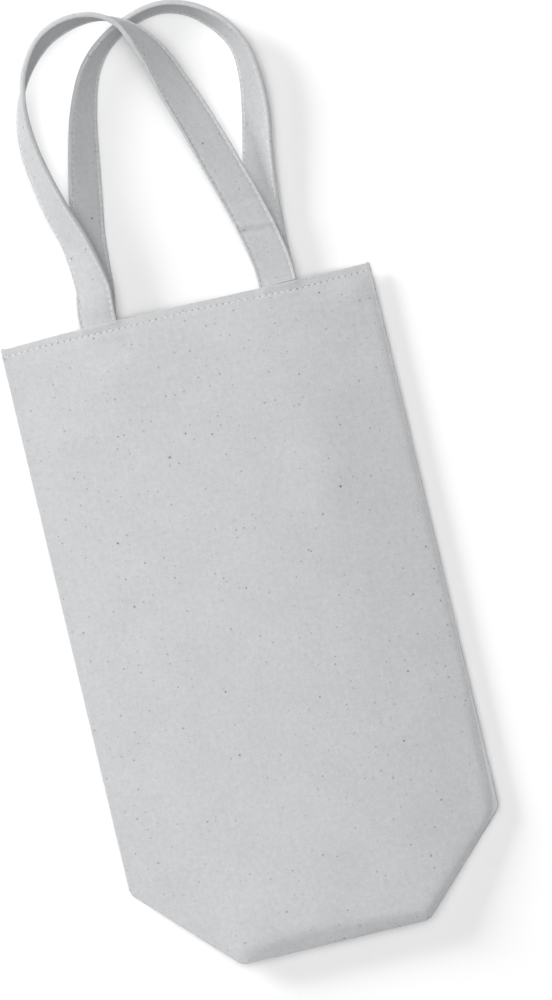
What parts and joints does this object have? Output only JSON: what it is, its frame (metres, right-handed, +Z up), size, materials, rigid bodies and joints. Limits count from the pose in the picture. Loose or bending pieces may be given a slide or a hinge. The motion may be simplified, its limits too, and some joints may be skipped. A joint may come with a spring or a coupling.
{
  "type": "bottle bag",
  "caption": "Flat-folded cotton bottle bag with a tucked square base, turned hem and two sewn strap handles; opens into a tall box.",
  "frame": {"origin": "centre of the back panel's outer face, on which the folded bag lies", "axes": "+X across the bag to the right, +Y from the base to the mouth, +Z up out of the resting face"},
  "size_m": [0.1798, 0.4595, 0.0378],
  "materials": {
    "body_canvas": "undyed light grey cotton canvas, plain weave with fine dark seed flecks, matte",
    "hem_canvas": "the same canvas seen on its inner face, turned in at the hem and the seams",
    "strap_canvas": "the same canvas folded into a firm strap, matte",
    "sewing_thread": "off-white polyester-cotton sewing thread"
  },
  "bodies": {
    "back": {"back_panel": "body_canvas", "back_hem": "hem_canvas", "back_hem_stitching": "sewing_thread", "back_handle_ends": "strap_canvas"},
    "left_back": {"left_back_side": "body_canvas", "left_back_hem": "hem_canvas", "left_back_hem_stitching": "sewing_thread", "left_side_seam": "hem_canvas"},
    "left_front": {"left_front_side": "body_canvas", "left_front_hem": "hem_canvas", "left_front_hem_stitching": "sewing_thread"},
    "front": {"front_panel": "body_canvas", "front_hem": "hem_canvas", "front_hem_stitching": "sewing_thread", "front_handle_ends": "strap_canvas"},
    "right_front": {"right_front_side": "body_canvas", "right_front_hem": "hem_canvas", "right_front_hem_stitching": "sewing_thread"},
    "right_back": {"right_back_side": "body_canvas", "right_back_hem": "hem_canvas", "right_back_hem_stitching": "sewing_thread", "right_side_seam": "hem_canvas"},
    "base_back": {"base_back_half": "body_canvas", "base_back_seams": "hem_canvas"},
    "base_front": {"base_front_half": "body_canvas", "base_front_seams": "hem_canvas"},
    "left_back_corner_flap": {"left_back_corner": "body_canvas"},
    "left_front_corner_flap": {"left_front_corner": "body_canvas"},
    "right_back_corner_flap": {"right_back_corner": "body_canvas"},
    "right_front_corner_flap": {"right_front_corner": "body_canvas"},
    "back_loop": {"back_handle": "strap_canvas", "back_handle_stitching": "sewing_thread"},
    "front_loop": {"front_handle": "strap_canvas", "front_handle_stitching": "sewing_thread"}
  },
  "joints": [
    {"name": "open_bag", "type": "hinge", "parent": "back", "child": "left_back", "pos_m": [-0.046, 0, 0.00075], "axis": [0, 1, 0], "range_deg": [0, 81]},
    {"name": "left_side_fold", "type": "hinge", "parent": "left_back", "child": "left_front", "pos_m": [-0.08995, 0, 0.00771], "axis": [0, 1, 0], "range_deg": [-162, 0]},
    {"name": "front_left_fold", "type": "hinge", "parent": "left_front", "child": "front", "pos_m": [-0.046, 0, 0.01467], "axis": [0, 1, 0], "range_deg": [0, 81]},
    {"name": "front_right_fold", "type": "hinge", "parent": "front", "child": "right_front", "pos_m": [0.046, 0, 0.01467], "axis": [0, 1, 0], "range_deg": [0, 81]},
    {"name": "right_side_fold", "type": "hinge", "parent": "right_front", "child": "right_back", "pos_m": [0.08995, 0, 0.00771], "axis": [0, 1, 0], "range_deg": [-162, 0]},
    {"name": "base_back_fold", "type": "hinge", "parent": "back", "child": "base_back", "pos_m": [0, -0.156, 0.00075], "axis": [1, 0, 0], "range_deg": [0, 81]},
    {"name": "base_middle_fold", "type": "hinge", "parent": "base_back", "child": "base_front", "pos_m": [0, -0.11205, 0.00771], "axis": [1, 0, 0], "range_deg": [-162, 0]},
    {"name": "left_back_corner_fold", "type": "hinge", "parent": "left_back", "child": "left_back_corner_flap", "pos_m": [-0.046, -0.156, 0.00075], "axis": [-0.6984, 0.7071, 0.1106], "range_deg": [-167.22, 0]},
    {"name": "left_front_corner_fold", "type": "hinge", "parent": "left_front", "child": "left_front_corner_flap", "pos_m": [-0.046, -0.156, 0.01467], "axis": [-0.6984, 0.7071, -0.1106], "range_deg": [0, 167.22]},
    {"name": "right_back_corner_fold", "type": "hinge", "parent": "right_back", "child": "right_back_corner_flap", "pos_m": [0.046, -0.156, 0.00075], "axis": [0.6984, 0.7071, 0.1106], "range_deg": [0, 167.22]},
    {"name": "right_front_corner_fold", "type": "hinge", "parent": "right_front", "child": "right_front_corner_flap", "pos_m": [0.046, -0.156, 0.01467], "axis": [0.6984, 0.7071, -0.1106], "range_deg": [-167.22, 0]},
    {"name": "back_handle_swing", "type": "hinge", "parent": "back", "child": "back_loop", "pos_m": [0, 0.15615, 0], "axis": [1, 0, 0], "range_deg": [-170, 0]},
    {"name": "front_handle_swing", "type": "hinge", "parent": "front", "child": "front_loop", "pos_m": [0, 0.15615, 0.01542], "axis": [1, 0, 0], "range_deg": [0, 160]}
  ],
  "couplings": [
    {"joint": "left_side_fold", "follows": "open_bag", "ratio": -2},
    {"joint": "front_left_fold", "follows": "open_bag", "ratio": 1},
    {"joint": "front_right_fold", "follows": "open_bag", "ratio": 1},
    {"joint": "right_side_fold", "follows": "open_bag", "ratio": -2},
    {"joint": "base_back_fold", "follows": "open_bag", "ratio": 1},
    {"joint": "base_middle_fold", "follows": "open_bag", "ratio": -2},
    {"joint": "left_back_corner_fold", "follows": "open_bag", "ratio": -2.0644},
    {"joint": "left_front_corner_fold", "follows": "open_bag", "ratio": 2.0644},
    {"joint": "right_back_corner_fold", "follows": "open_bag", "ratio": 2.0644},
    {"joint": "right_front_corner_fold", "follows": "open_bag", "ratio": -2.0644}
  ]
}
